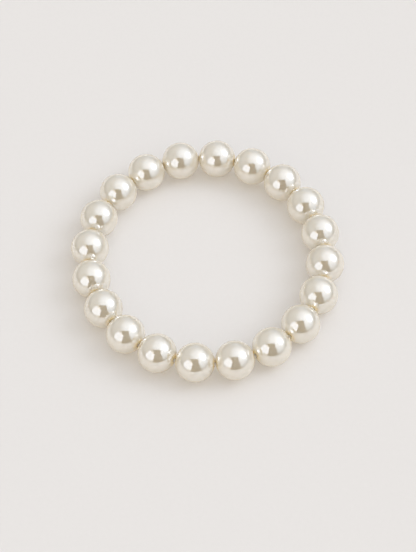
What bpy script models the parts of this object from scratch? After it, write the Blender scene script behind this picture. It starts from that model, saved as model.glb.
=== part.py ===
"""Pearl bracelet lying flat: round pearls, drilled through and strung on one loop of elastic.

Metres, +Z up. The pearls rest on z = 0 and the origin is at the middle of the loop.
Pearls are numbered clockwise, seen from above, from the far side (+Y).
"""
import math

import bpy
from mathutils import Vector

MM = 0.001

PEARL_COUNT = 20
PEARL_RADIUS = 5.0 * MM
PEARL_GAP = 0.2 * MM
BORE_RADIUS = 0.7 * MM
BORE_CLEARANCE = 0.3 * MM
CORD_RADIUS = BORE_RADIUS - BORE_CLEARANCE
# the cord turns towards the next pearl just inside the mouth of the bore
CORD_BEND_DEPTH = 0.08 * MM

# the loop lies slightly oval: its radius swells and shrinks by this share
OVAL_SHARE = 0.040
LONG_AXIS = math.radians(101.3)
FIRST_PEARL = math.radians(81.75)

# facets around the bore, and bands from mouth to mouth: an odd number of bands
# leaves a flat facet under the middle of each pearl
PEARL_SIDES = 16
PEARL_BANDS = 13

PEARL_COLOUR = (0.86, 0.80, 0.71, 1.0)
ELASTIC_COLOUR = (0.80, 0.78, 0.74, 1.0)


def make_material(name, colour, roughness, metallic):
    material = bpy.data.materials.new(name)
    material.use_nodes = True
    shader = material.node_tree.nodes["Principled BSDF"]
    shader.inputs["Base Color"].default_value = colour
    shader.inputs["Roughness"].default_value = roughness
    shader.inputs["Metallic"].default_value = metallic
    material.diffuse_color = colour
    return material


def loop_point(size, angle):
    """Centre of a pearl at this angle round an oval of this mean radius."""
    radius = size * (1.0 + OVAL_SHARE * math.cos(2.0 * (angle - LONG_AXIS)))
    return Vector((radius * math.cos(angle), radius * math.sin(angle), PEARL_RADIUS))


def next_angle(size, angle, pitch):
    """Angle of the next pearl clockwise, one pitch away in a straight line."""
    here = loop_point(size, angle)
    near = 0.0
    far = math.pi
    for _ in range(60):
        middle = 0.5 * (near + far)
        if (loop_point(size, angle - middle) - here).length < pitch:
            near = middle
        else:
            far = middle
    return angle - near


def pearl_angles(size, pitch):
    angles = [FIRST_PEARL]
    for _ in range(PEARL_COUNT):
        angles.append(next_angle(size, angles[-1], pitch))
    return angles


def closed_loop_angles(pitch):
    """Mean radius, and the pearls' angles, at which the string just closes."""
    round_size = 0.5 * pitch / math.sin(math.pi / PEARL_COUNT)
    small = round_size * 0.9
    large = round_size * 1.1
    for _ in range(60):
        size = 0.5 * (small + large)
        turned = FIRST_PEARL - pearl_angles(size, pitch)[-1]
        if turned > 2.0 * math.pi:
            small = size
        else:
            large = size
    return size, pearl_angles(size, pitch)[:PEARL_COUNT]


def pearl_profile():
    """Closed outline of one half of a drilled pearl, as (distance from the bore's axis, height).

    It runs down the outer side from mouth to mouth, and the last point joins the first along the
    bore. Its corners lie outside the round pearl, so each facet's middle touches it.
    """
    band = math.pi / PEARL_BANDS
    corner_radius = PEARL_RADIUS / math.cos(0.5 * band)
    for _ in range(8):
        mouth = math.asin(BORE_RADIUS / corner_radius)
        band = (math.pi - 2.0 * mouth) / PEARL_BANDS
        corner_radius = PEARL_RADIUS / math.cos(0.5 * band)
    points = []
    for i in range(PEARL_BANDS + 1):
        angle = mouth + i * band
        points.append((corner_radius * math.sin(angle), corner_radius * math.cos(angle)))
    return points


def make_pearl_mesh(profile):
    """The profile's outline as a wire, turned half a side so that a facet faces local +X."""
    half_side = math.pi / PEARL_SIDES
    corner_scale = 1.0 / math.cos(half_side)
    vertices = []
    for distance, height in profile:
        reach = distance * corner_scale
        vertices.append((reach * math.cos(half_side), -reach * math.sin(half_side), height))
    edges = [(i, (i + 1) % len(vertices)) for i in range(len(vertices))]
    mesh = bpy.data.meshes.new("drilled_pearl")
    mesh.from_pydata(vertices, edges, [])
    mesh.update()
    return mesh


def turn_profile(obj):
    screw = obj.modifiers.new("turn", "SCREW")
    screw.axis = "Z"
    screw.angle = 2.0 * math.pi
    screw.steps = PEARL_SIDES
    screw.render_steps = PEARL_SIDES
    screw.use_merge_vertices = True
    screw.merge_threshold = 0.00001
    screw.use_smooth_shade = True


def place_pearl(name, mesh, centre, heading, collection, parent):
    """Stand a pearl on its facet, with the bore level and pointing along the heading."""
    pearl = bpy.data.objects.new(name, mesh)
    pearl.location = centre
    pearl.rotation_euler = (0.0, 0.5 * math.pi, heading)
    pearl.parent = parent
    collection.objects.link(pearl)
    turn_profile(pearl)
    return pearl


def make_cord(points, material, collection, parent):
    """One closed loop of round elastic through every bore."""
    curve = bpy.data.curves.new("elastic_cord", "CURVE")
    curve.dimensions = "3D"
    curve.bevel_depth = CORD_RADIUS
    curve.bevel_resolution = 2
    spline = curve.splines.new("POLY")
    spline.points.add(len(points) - 1)
    for slot, point in zip(spline.points, points):
        slot.co = (point.x, point.y, point.z, 1.0)
    spline.use_cyclic_u = True
    spline.use_smooth = True
    curve.materials.append(material)
    cord = bpy.data.objects.new("elastic_cord", curve)
    cord.parent = parent
    collection.objects.link(cord)
    return cord


def build():
    for old in list(bpy.data.objects):
        bpy.data.objects.remove(old, do_unlink=True)

    collection = bpy.data.collections.new("pearl_bracelet")
    bpy.context.scene.collection.children.link(collection)
    bracelet = bpy.data.objects.new("bracelet", None)
    collection.objects.link(bracelet)

    nacre = make_material("nacre", PEARL_COLOUR, 0.18, 0.35)
    elastic = make_material("elastic", ELASTIC_COLOUR, 0.45, 0.0)

    pitch = 2.0 * PEARL_RADIUS + PEARL_GAP
    size, angles = closed_loop_angles(pitch)
    centres = [loop_point(size, angle) for angle in angles]

    profile = pearl_profile()
    mouth_depth = profile[0][1]
    pearl_mesh = make_pearl_mesh(profile)
    pearl_mesh.materials.append(nacre)

    cord_points = []
    for i, centre in enumerate(centres):
        before = centres[i - 1]
        after = centres[(i + 1) % PEARL_COUNT]
        along = (after - before).normalized()
        heading = math.atan2(along.y, along.x)
        place_pearl(f"pearl_{i + 1:02d}", pearl_mesh, centre, heading, collection, bracelet)
        bend = mouth_depth - CORD_BEND_DEPTH
        cord_points.append(centre - along * bend)
        cord_points.append(centre + along * bend)

    make_cord(cord_points, elastic, collection, bracelet)


build()
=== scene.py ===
import math

import bpy
from mathutils import Matrix, Vector


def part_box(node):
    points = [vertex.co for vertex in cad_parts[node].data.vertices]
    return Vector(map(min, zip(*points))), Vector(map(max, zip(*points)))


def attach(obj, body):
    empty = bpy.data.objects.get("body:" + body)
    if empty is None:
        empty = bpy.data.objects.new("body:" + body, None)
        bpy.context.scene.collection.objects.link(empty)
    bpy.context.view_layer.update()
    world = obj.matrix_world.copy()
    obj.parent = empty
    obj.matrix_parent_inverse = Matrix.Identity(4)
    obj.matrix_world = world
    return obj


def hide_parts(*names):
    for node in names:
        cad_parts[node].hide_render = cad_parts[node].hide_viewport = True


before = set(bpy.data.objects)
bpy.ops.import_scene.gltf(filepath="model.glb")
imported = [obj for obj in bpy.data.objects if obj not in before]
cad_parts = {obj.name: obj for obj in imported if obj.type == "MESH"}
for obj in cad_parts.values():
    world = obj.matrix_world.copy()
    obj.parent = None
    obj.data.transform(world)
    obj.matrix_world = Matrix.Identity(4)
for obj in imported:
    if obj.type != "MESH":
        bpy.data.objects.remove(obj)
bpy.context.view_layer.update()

# Looks of the pearl bracelet: smooth drilled pearls, the elastic through them, and a plain
# studio. Lengths are in metres, and a noise scale is the number of its features in a metre.
MM = 0.001

# Pearls
PEARL_COUNT = 20
PEARL_RADIUS = 5.09 * MM
BORE_RADIUS = 0.7 * MM
LIP_RADIUS = 0.12 * MM
PEARL_SEGMENTS = 72
PEARL_BANDS = 40
LIP_BANDS = 4

# Nacre: cream with darker clouds, and a little rosier on some pearls than on others. Round the
# mouths of the bore the colour goes golden: painted light that stands in for the warm glow the
# neighbouring pearls reflect into each other there. The painted glow starts and is full at
# these distances from the pearl's middle, measured along the bore in pearl diameters. The
# ranges are the levels of noise over which the clouds and the mottle come in
CREAM = (0.745, 0.675, 0.535, 1.0)
CLOUD = (0.725, 0.663, 0.535, 1.0)
ROSE = (0.745, 0.663, 0.545, 1.0)
PAINTED_GOLD_GLOW = (0.95, 0.72, 0.40, 1.0)
MOST_ROSE = 0.35
PAINTED_GLOW_START = 0.45
PAINTED_GLOW_FULL = 0.495
CLOUD_SCALE = 260.0
CLOUD_RANGE = (0.35, 0.65)
MOTTLE_SCALE = 1400.0
MOTTLE_RANGE = (0.3, 0.7)
NACRE_ROUGHNESS = (0.03, 0.05)
NACRE_IOR = 6.0
NACRE_SOAK_DEPTH = 4.0 * MM
NACRE_BUMP = 0.01
NACRE_BUMP_DEPTH = 0.03 * MM

# Elastic. The cord is straight in each bore, up to a bend this deep inside either mouth. Its
# points in the bore lie at these shares of the way from the pearl's middle to the bends
CORD_RADIUS = 0.4 * MM
CORD_SIDES = 20
CORD_BEND_DEPTH = 0.08 * MM
CORD_BORE_SHARES = (-0.9, 0.0, 0.9)
CORD_CURVE_STEPS = 4
STRAND_DARK = (0.74, 0.70, 0.62, 1.0)
STRAND_LIGHT = (0.86, 0.83, 0.77, 1.0)
STRAND_SCALE = 6000.0
STRAND_BUMP = 0.3
STRAND_BUMP_DEPTH = 0.05 * MM
ELASTIC_ROUGHNESS = 0.38

# Floor
FLOOR_SIZE = 24.0
PAPER_DARK = (0.664, 0.657, 0.658, 1.0)
PAPER_LIGHT = (0.687, 0.680, 0.681, 1.0)
PAPER_GRAIN_SCALE = 900.0
PAPER_ROUGHNESS = 0.7
PAPER_SPECULAR = 0.2

# Camera. The picture is 416 by 552 pixels, and its long side spans the sensor. The focal
# length is in the picture's pixels, and the sensor's size in millimetres
PICTURE_HEIGHT = 552.0
FOCAL_PIXELS = 1560.0
SENSOR = 36.0
CAMERA_ELEVATION = math.radians(54.65)
CAMERA_ROLL = math.radians(-4.0)
CAMERA_DISTANCE = 412.4 * MM
CAMERA_TARGET = Vector((0.0, -6.6 * MM, 5.0 * MM))
CAMERA_NEAR_LIMIT = 10.0 * MM
CAMERA_FAR_LIMIT = 40.0

# Studio. Directions are (azimuth, elevation) in degrees and point to where the light stands.
# The walls' tone rises to its high value at a height, and the ground meets them in a narrow
# band below the horizon. Both are sines of the elevation
WALL_LOW = (0.36, 0.35, 0.34, 1.0)
WALL_HIGH = (0.59, 0.58, 0.57, 1.0)
WALL_HEIGHT = 0.45
GROUND = (0.81, 0.78, 0.76, 1.0)
GROUND_EDGE = -0.01

# Glows are round patches of the sky: full inside the inner angle, gone at the outer one
DAYLIGHT = (0.965, 1.0, 1.065)
WARM_LIGHT = (1.0, 0.91, 0.77)
GLOWS = [
    # front fill
    {"towards": (-115, 32), "inner": 10, "outer": 40, "light": 1.03, "tint": WARM_LIGHT},
    # back wall
    {"towards": (80, 19), "inner": 5, "outer": 24, "light": 0.60, "tint": DAYLIGHT},
    # right wall
    {"towards": (-31, 38), "inner": 6, "outer": 42, "light": 0.79, "tint": DAYLIGHT},
    # ceiling
    {"towards": (12, 62), "inner": 8, "outer": 60, "light": 1.06, "tint": DAYLIGHT},
    # lamp shade
    {"towards": (8, 46), "inner": 6, "outer": 34, "light": 1.37, "tint": DAYLIGHT},
    # lamp
    {"towards": (6, 41), "inner": 5, "outer": 19, "light": 4.29, "tint": DAYLIGHT},
]

# Cards stand round the near side of the ring and show only in glossy reflections. They bring
# in a doorway and a window, and a card that is nearer lies in front of the others
CARD_CENTRE = Vector((0.0, -33.0 * MM, 5.0 * MM))
CARD_DISTANCE = 420.0 * MM
DOORWAY_LIGHT = (0.19, 0.14, 0.09, 1.0)
WINDOW_LIGHT = (1.17, 1.20, 1.27, 1.0)
CARDS = [
    {"name": "doorway", "light": DOORWAY_LIGHT, "nearer": 0.0,
     "corners": [(-118, 1), (-60, 1), (-59, 46), (-113, 49), (-114, 14)]},
    {"name": "doorway_top", "light": DOORWAY_LIGHT, "nearer": 0.0,
     "corners": [(-113, 49), (-59, 46), (-38, 67), (-158, 63)]},
    {"name": "window", "light": WINDOW_LIGHT, "nearer": 6.0 * MM,
     "corners": [(-164, 9), (-138, 5), (-114, 14), (-112, 48), (-139, 52), (-168, 50),
                 (-168, 23)]},
]

# Fills are even light without shadows, each on one kind of thing
FILLS = [
    {"name": "floor_fill", "lights": "floor", "towards": (0, 90),
     "light": 0.80, "tint": (1.0, 0.86, 0.66)},
    {"name": "pearl_fill", "lights": "pearls", "towards": (180, 35),
     "light": 0.55, "tint": (1.0, 0.96, 0.88)},
    {"name": "bounce_fill", "lights": "pearls", "towards": (-90, -80),
     "light": 0.35, "tint": (1.0, 0.98, 0.93)},
]


class Graph:
    """Short calls that add nodes to a tree and feed their sockets."""

    def __init__(self, tree):
        self.tree = tree

    def add(self, kind, **settings):
        node = self.tree.nodes.new(kind)
        for key, value in settings.items():
            setattr(node, key, value)
        return node

    def put(self, socket, value):
        """Link the socket to another socket, or set it to a plain value."""
        if isinstance(value, bpy.types.NodeSocket):
            self.tree.links.new(value, socket)
        else:
            socket.default_value = value

    def calculate(self, operation, first, second=0.0):
        node = self.add("ShaderNodeMath", operation=operation)
        self.put(node.inputs[0], first)
        self.put(node.inputs[1], second)
        return node.outputs[0]

    def sum(self, vector, offset):
        node = self.add("ShaderNodeVectorMath", operation="ADD")
        self.put(node.inputs[0], vector)
        self.put(node.inputs[1], offset)
        return node.outputs["Vector"]

    def dot(self, vector, direction):
        node = self.add("ShaderNodeVectorMath", operation="DOT_PRODUCT")
        self.put(node.inputs[0], vector)
        self.put(node.inputs[1], direction)
        return node.outputs["Value"]

    def ramp(self, value, low, high, start=0.0, end=1.0):
        """Smooth step from start to end while value goes from low to high."""
        node = self.add("ShaderNodeMapRange", interpolation_type="SMOOTHSTEP")
        self.put(node.inputs["Value"], value)
        self.put(node.inputs["From Min"], low)
        self.put(node.inputs["From Max"], high)
        self.put(node.inputs["To Min"], start)
        self.put(node.inputs["To Max"], end)
        return node.outputs["Result"]

    def mix(self, share, first, second):
        """Colour that goes from the first to the second as the share goes from 0 to 1."""
        node = self.add("ShaderNodeMix", data_type="RGBA")
        self.put(node.inputs[0], share)
        self.put(node.inputs[6], first)
        self.put(node.inputs[7], second)
        return node.outputs[2]

    def noise(self, vector, scale, detail=2.0, roughness=0.5):
        node = self.add("ShaderNodeTexNoise")
        self.put(node.inputs["Vector"], vector)
        self.put(node.inputs["Scale"], scale)
        self.put(node.inputs["Detail"], detail)
        self.put(node.inputs["Roughness"], roughness)
        return node.outputs["Fac"]

    def bump(self, height, strength, distance):
        node = self.add("ShaderNodeBump")
        self.put(node.inputs["Height"], height)
        self.put(node.inputs["Strength"], strength)
        self.put(node.inputs["Distance"], distance)
        return node.outputs["Normal"]


def new_material(name):
    """A material, the graph of its nodes, and its shader."""
    material = bpy.data.materials.new(name)
    material.use_nodes = True
    graph = Graph(material.node_tree)
    return material, graph, graph.tree.nodes["Principled BSDF"]


def new_mesh(name, vertices, faces, material, smooth=False):
    mesh = bpy.data.meshes.new(name)
    mesh.from_pydata(vertices, [], faces)
    mesh.polygons.foreach_set("use_smooth", [smooth] * len(faces))
    mesh.materials.append(material)
    mesh.update()
    return mesh


def new_object(name, data):
    thing = bpy.data.objects.new(name, data)
    bpy.context.collection.objects.link(thing)
    return thing


def heading_vector(azimuth, elevation):
    """Unit direction: azimuth in degrees from +X towards +Y, elevation above the floor."""
    a = math.radians(azimuth)
    e = math.radians(elevation)
    return Vector((math.cos(a) * math.cos(e), math.sin(a) * math.cos(e), math.sin(e)))


# Pearls

def nacre_material():
    """A warm body that light soaks into, under a strong neutral gloss."""
    material, graph, shader = new_material("nacre")
    coordinates = graph.add("ShaderNodeTexCoord")
    chance = graph.add("ShaderNodeObjectInfo").outputs["Random"]
    spot = graph.sum(coordinates.outputs["Object"], chance)
    clouds = graph.ramp(graph.noise(spot, CLOUD_SCALE, detail=3.0), *CLOUD_RANGE)
    mottle = graph.noise(spot, MOTTLE_SCALE, detail=3.0, roughness=0.6)

    uv = graph.add("ShaderNodeSeparateXYZ")
    graph.put(uv.inputs[0], coordinates.outputs["UV"])
    from_middle = graph.calculate("ABSOLUTE", graph.calculate("SUBTRACT", uv.outputs["Y"], 0.5))
    tint = graph.mix(clouds, CREAM, CLOUD)
    tint = graph.mix(graph.calculate("MULTIPLY", chance, MOST_ROSE), tint, ROSE)
    # painted light: a golden glow near the bore mouths, standing in for light reflected between
    # neighbouring pearls
    tint = graph.mix(graph.ramp(from_middle, PAINTED_GLOW_START, PAINTED_GLOW_FULL), tint, PAINTED_GOLD_GLOW)
    graph.put(shader.inputs["Base Color"], tint)

    graph.put(shader.inputs["Roughness"], graph.ramp(mottle, *MOTTLE_RANGE, *NACRE_ROUGHNESS))
    graph.put(shader.inputs["IOR"], NACRE_IOR)
    graph.put(shader.inputs["Subsurface Weight"], 1.0)
    graph.put(shader.inputs["Subsurface Radius"], (1.0, 1.0, 1.0))
    graph.put(shader.inputs["Subsurface Scale"], NACRE_SOAK_DEPTH)
    graph.put(shader.inputs["Normal"], graph.bump(mottle, NACRE_BUMP, NACRE_BUMP_DEPTH))
    return material


def pearl_profile():
    """Closed outline of a drilled pearl with rounded lips, as (distance, height)."""
    lip_distance = BORE_RADIUS + LIP_RADIUS
    lip_height = math.sqrt((PEARL_RADIUS - LIP_RADIUS) ** 2 - lip_distance ** 2)
    lip_angle = math.atan2(lip_distance, lip_height)
    bore_turn = math.pi
    ball_turn = 0.5 * math.pi - lip_angle
    upper_lip = []
    for i in range(LIP_BANDS):
        turn = bore_turn + (ball_turn - bore_turn) * i / LIP_BANDS
        distance = lip_distance + LIP_RADIUS * math.cos(turn)
        upper_lip.append((distance, lip_height + LIP_RADIUS * math.sin(turn)))
    ball = []
    for i in range(PEARL_BANDS + 1):
        angle = lip_angle + (math.pi - 2.0 * lip_angle) * i / PEARL_BANDS
        ball.append((PEARL_RADIUS * math.sin(angle), PEARL_RADIUS * math.cos(angle)))
    lower_lip = [(distance, -height) for distance, height in reversed(upper_lip)]
    return upper_lip + ball + lower_lip


def pearl_mesh(name, profile, axis, material):
    """The closed profile turned about this axis. The UV map holds turn and height."""
    to_axis = Vector((0.0, 0.0, 1.0)).rotation_difference(axis).to_matrix()
    rows = len(profile)
    vertices = []
    for s in range(PEARL_SEGMENTS):
        turn = 2.0 * math.pi * s / PEARL_SEGMENTS
        for distance, height in profile:
            spot = Vector((distance * math.cos(turn), distance * math.sin(turn), height))
            vertices.append(to_axis @ spot)
    levels = [0.5 + 0.5 * height / PEARL_RADIUS for distance, height in profile]
    faces = []
    places = []
    for s in range(PEARL_SEGMENTS):
        t = (s + 1) % PEARL_SEGMENTS
        left = s / PEARL_SEGMENTS
        right = (s + 1) / PEARL_SEGMENTS
        for r in range(rows):
            q = (r + 1) % rows
            faces.append((s * rows + r, s * rows + q, t * rows + q, t * rows + r))
            places += [(left, levels[r]), (left, levels[q])]
            places += [(right, levels[q]), (right, levels[r])]
    mesh = new_mesh(name, vertices, faces, material, smooth=True)
    layer = mesh.uv_layers.new(name="turn_height")
    for loop, place in zip(layer.data, places):
        loop.uv = place
    return mesh


def pearl_name(index):
    return f"pearl_{index + 1:02d}"


def pearl_centres():
    """The middle of each pearl's box in the frame."""
    centres = []
    for index in range(PEARL_COUNT):
        low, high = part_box(pearl_name(index))
        centres.append(0.5 * (low + high))
    return centres


def bore_axes(centres):
    """Each bore runs along the line from the pearl before to the pearl after."""
    axes = []
    for index in range(PEARL_COUNT):
        before = centres[index - 1]
        after = centres[(index + 1) % PEARL_COUNT]
        axes.append((after - before).normalized())
    return axes


def make_pearls(centres, axes, material):
    profile = pearl_profile()
    pearls = []
    for index in range(PEARL_COUNT):
        name = pearl_name(index)
        mesh = pearl_mesh(name + "_surface", profile, axes[index], material)
        pearl = new_object(name + "_surface", mesh)
        pearl.location = centres[index]
        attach(pearl, "root")
        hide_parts(name)
        pearls.append(pearl)
    return pearls


# Elastic

def elastic_material():
    """Clear white with faint strands."""
    material, graph, shader = new_material("elastic")
    coordinates = graph.add("ShaderNodeTexCoord")
    strands = graph.noise(coordinates.outputs["Object"], STRAND_SCALE)
    graph.put(shader.inputs["Base Color"], graph.mix(strands, STRAND_DARK, STRAND_LIGHT))
    graph.put(shader.inputs["Roughness"], ELASTIC_ROUGHNESS)
    graph.put(shader.inputs["Normal"], graph.bump(strands, STRAND_BUMP, STRAND_BUMP_DEPTH))
    return material


def cord_path(centres, axes):
    """Straight along each bore, and a short curve from mouth to mouth."""
    reach = PEARL_RADIUS - CORD_BEND_DEPTH
    points = []
    for index in range(PEARL_COUNT):
        centre = centres[index]
        axis = axes[index]
        follower = (index + 1) % PEARL_COUNT
        for share in CORD_BORE_SHARES:
            points.append(centre + axis * reach * share)
        start = centre + axis * reach
        end = centres[follower] - axes[follower] * reach
        pull = (end - start).length
        for step in range(CORD_CURVE_STEPS + 1):
            t = step / CORD_CURVE_STEPS
            smooth = t * t * (3.0 - 2.0 * t)
            lead = start + axis * pull * t * 0.5
            tail = end - axes[follower] * pull * (1.0 - t) * 0.5
            points.append(lead.lerp(tail, smooth))
    return points


def tube_mesh(name, points, radius, sides, material):
    """A closed loop of round tube through the points."""
    count = len(points)
    up = Vector((0.0, 0.0, 1.0))
    vertices = []
    for i in range(count):
        along = (points[(i + 1) % count] - points[i - 1]).normalized()
        out = along.cross(up).normalized()
        rise = out.cross(along)
        for s in range(sides):
            turn = 2.0 * math.pi * s / sides
            vertices.append(points[i] + radius * (out * math.cos(turn) + rise * math.sin(turn)))
    faces = []
    for i in range(count):
        j = (i + 1) % count
        for s in range(sides):
            t = (s + 1) % sides
            faces.append((i * sides + s, j * sides + s, j * sides + t, i * sides + t))
    return new_mesh(name, vertices, faces, material, smooth=True)


def make_elastic(centres, axes, material):
    path = cord_path(centres, axes)
    mesh = tube_mesh("elastic_surface", path, CORD_RADIUS, CORD_SIDES, material)
    elastic = new_object("elastic_surface", mesh)
    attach(elastic, "root")
    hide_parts("elastic_cord")


# Studio

def floor_material():
    """Plain pale paper with a fine grain."""
    material, graph, shader = new_material("paper_floor")
    coordinates = graph.add("ShaderNodeTexCoord")
    place = coordinates.outputs["Object"]
    grain = graph.noise(place, PAPER_GRAIN_SCALE, detail=4.0, roughness=0.6)
    graph.put(shader.inputs["Base Color"], graph.mix(grain, PAPER_DARK, PAPER_LIGHT))
    graph.put(shader.inputs["Roughness"], PAPER_ROUGHNESS)
    graph.put(shader.inputs["Specular IOR Level"], PAPER_SPECULAR)
    return material


def make_floor(height):
    half = 0.5 * FLOOR_SIZE
    corners = [(x * half, y * half, height) for x, y in ((-1, -1), (1, -1), (1, 1), (-1, 1))]
    mesh = new_mesh("floor", corners, [(0, 1, 2, 3)], floor_material())
    floor = new_object("floor", mesh)
    return floor


def make_world():
    """Plain walls above and ground below, with the glows laid over the walls."""
    world = bpy.data.worlds.new("studio")
    bpy.context.scene.world = world
    world.use_nodes = True
    graph = Graph(world.node_tree)
    view = graph.add("ShaderNodeTexCoord").outputs["Generated"]
    height = graph.dot(view, (0.0, 0.0, 1.0))
    sky = graph.mix(graph.ramp(height, 0.0, WALL_HEIGHT), WALL_LOW, WALL_HIGH)
    for glow in GLOWS:
        closeness = graph.dot(view, heading_vector(*glow["towards"]))
        inner = math.cos(math.radians(glow["inner"]))
        outer = math.cos(math.radians(glow["outer"]))
        colour = [glow["light"] * part for part in glow["tint"]] + [1.0]
        sky = graph.mix(graph.ramp(closeness, outer, inner), sky, colour)
    sky = graph.mix(graph.ramp(height, GROUND_EDGE, 0.0), GROUND, sky)
    graph.put(graph.tree.nodes["Background"].inputs["Color"], sky)


def card_material(name, light):
    """Even light, and nothing else."""
    material, graph, shader = new_material(name)
    graph.tree.nodes.remove(shader)
    emission = graph.add("ShaderNodeEmission")
    graph.put(emission.inputs["Color"], light)
    output = graph.tree.nodes["Material Output"]
    graph.put(output.inputs["Surface"], emission.outputs["Emission"])
    return material


def make_card(name, corners, light, nearer):
    """A flat card whose corners lie in these directions from the cards' centre."""
    distance = CARD_DISTANCE - nearer
    spots = [CARD_CENTRE + distance * heading_vector(*corner) for corner in corners]
    mesh = new_mesh(name, spots, [tuple(range(len(spots)))], card_material(name, light))
    card = new_object(name, mesh)
    card.visible_camera = False
    card.visible_diffuse = False
    card.visible_transmission = False
    card.visible_shadow = False


def make_fill(name, towards, light, tint, pieces):
    """Light these pieces alone, from one direction, without shadows or highlights."""
    sun = bpy.data.lights.new(name, "SUN")
    sun.color = tint
    sun.energy = light
    sun.use_shadow = False
    lamp = new_object(name, sun)
    lamp.rotation_mode = "QUATERNION"
    lamp.rotation_quaternion = heading_vector(*towards).to_track_quat("Z", "Y")
    lamp.visible_glossy = False
    receivers = bpy.data.collections.new(name + "_receivers")
    for piece in pieces:
        receivers.objects.link(piece)
    lamp.light_linking.receiver_collection = receivers


def make_camera():
    """Look along +Y and down at the target, rolled about the line of sight."""
    forward = Vector((0.0, math.cos(CAMERA_ELEVATION), -math.sin(CAMERA_ELEVATION)))
    level = Vector((1.0, 0.0, 0.0))
    right = Matrix.Rotation(CAMERA_ROLL, 3, -forward) @ level
    up = right.cross(forward)
    place = Matrix((right, up, -forward)).transposed().to_4x4()
    place.translation = CAMERA_TARGET - forward * CAMERA_DISTANCE
    lens = bpy.data.cameras.new("camera")
    lens.sensor_width = SENSOR
    lens.lens = FOCAL_PIXELS / PICTURE_HEIGHT * SENSOR
    lens.clip_start = CAMERA_NEAR_LIMIT
    lens.clip_end = CAMERA_FAR_LIMIT
    camera = new_object("camera", lens)
    camera.matrix_world = place
    bpy.context.scene.camera = camera


pearl_spots = pearl_centres()
pearl_axes = bore_axes(pearl_spots)
pearls = make_pearls(pearl_spots, pearl_axes, nacre_material())
make_elastic(pearl_spots, pearl_axes, elastic_material())
floor = make_floor(pearl_spots[0].z - PEARL_RADIUS)
make_world()
for card in CARDS:
    make_card(card["name"], card["corners"], card["light"], card["nearer"])
lit_pieces = {"floor": [floor], "pearls": pearls}
for fill in FILLS:
    lit = lit_pieces[fill["lights"]]
    make_fill(fill["name"], fill["towards"], fill["light"], fill["tint"], lit)
make_camera()
bpy.context.scene.view_settings.view_transform = "Standard"
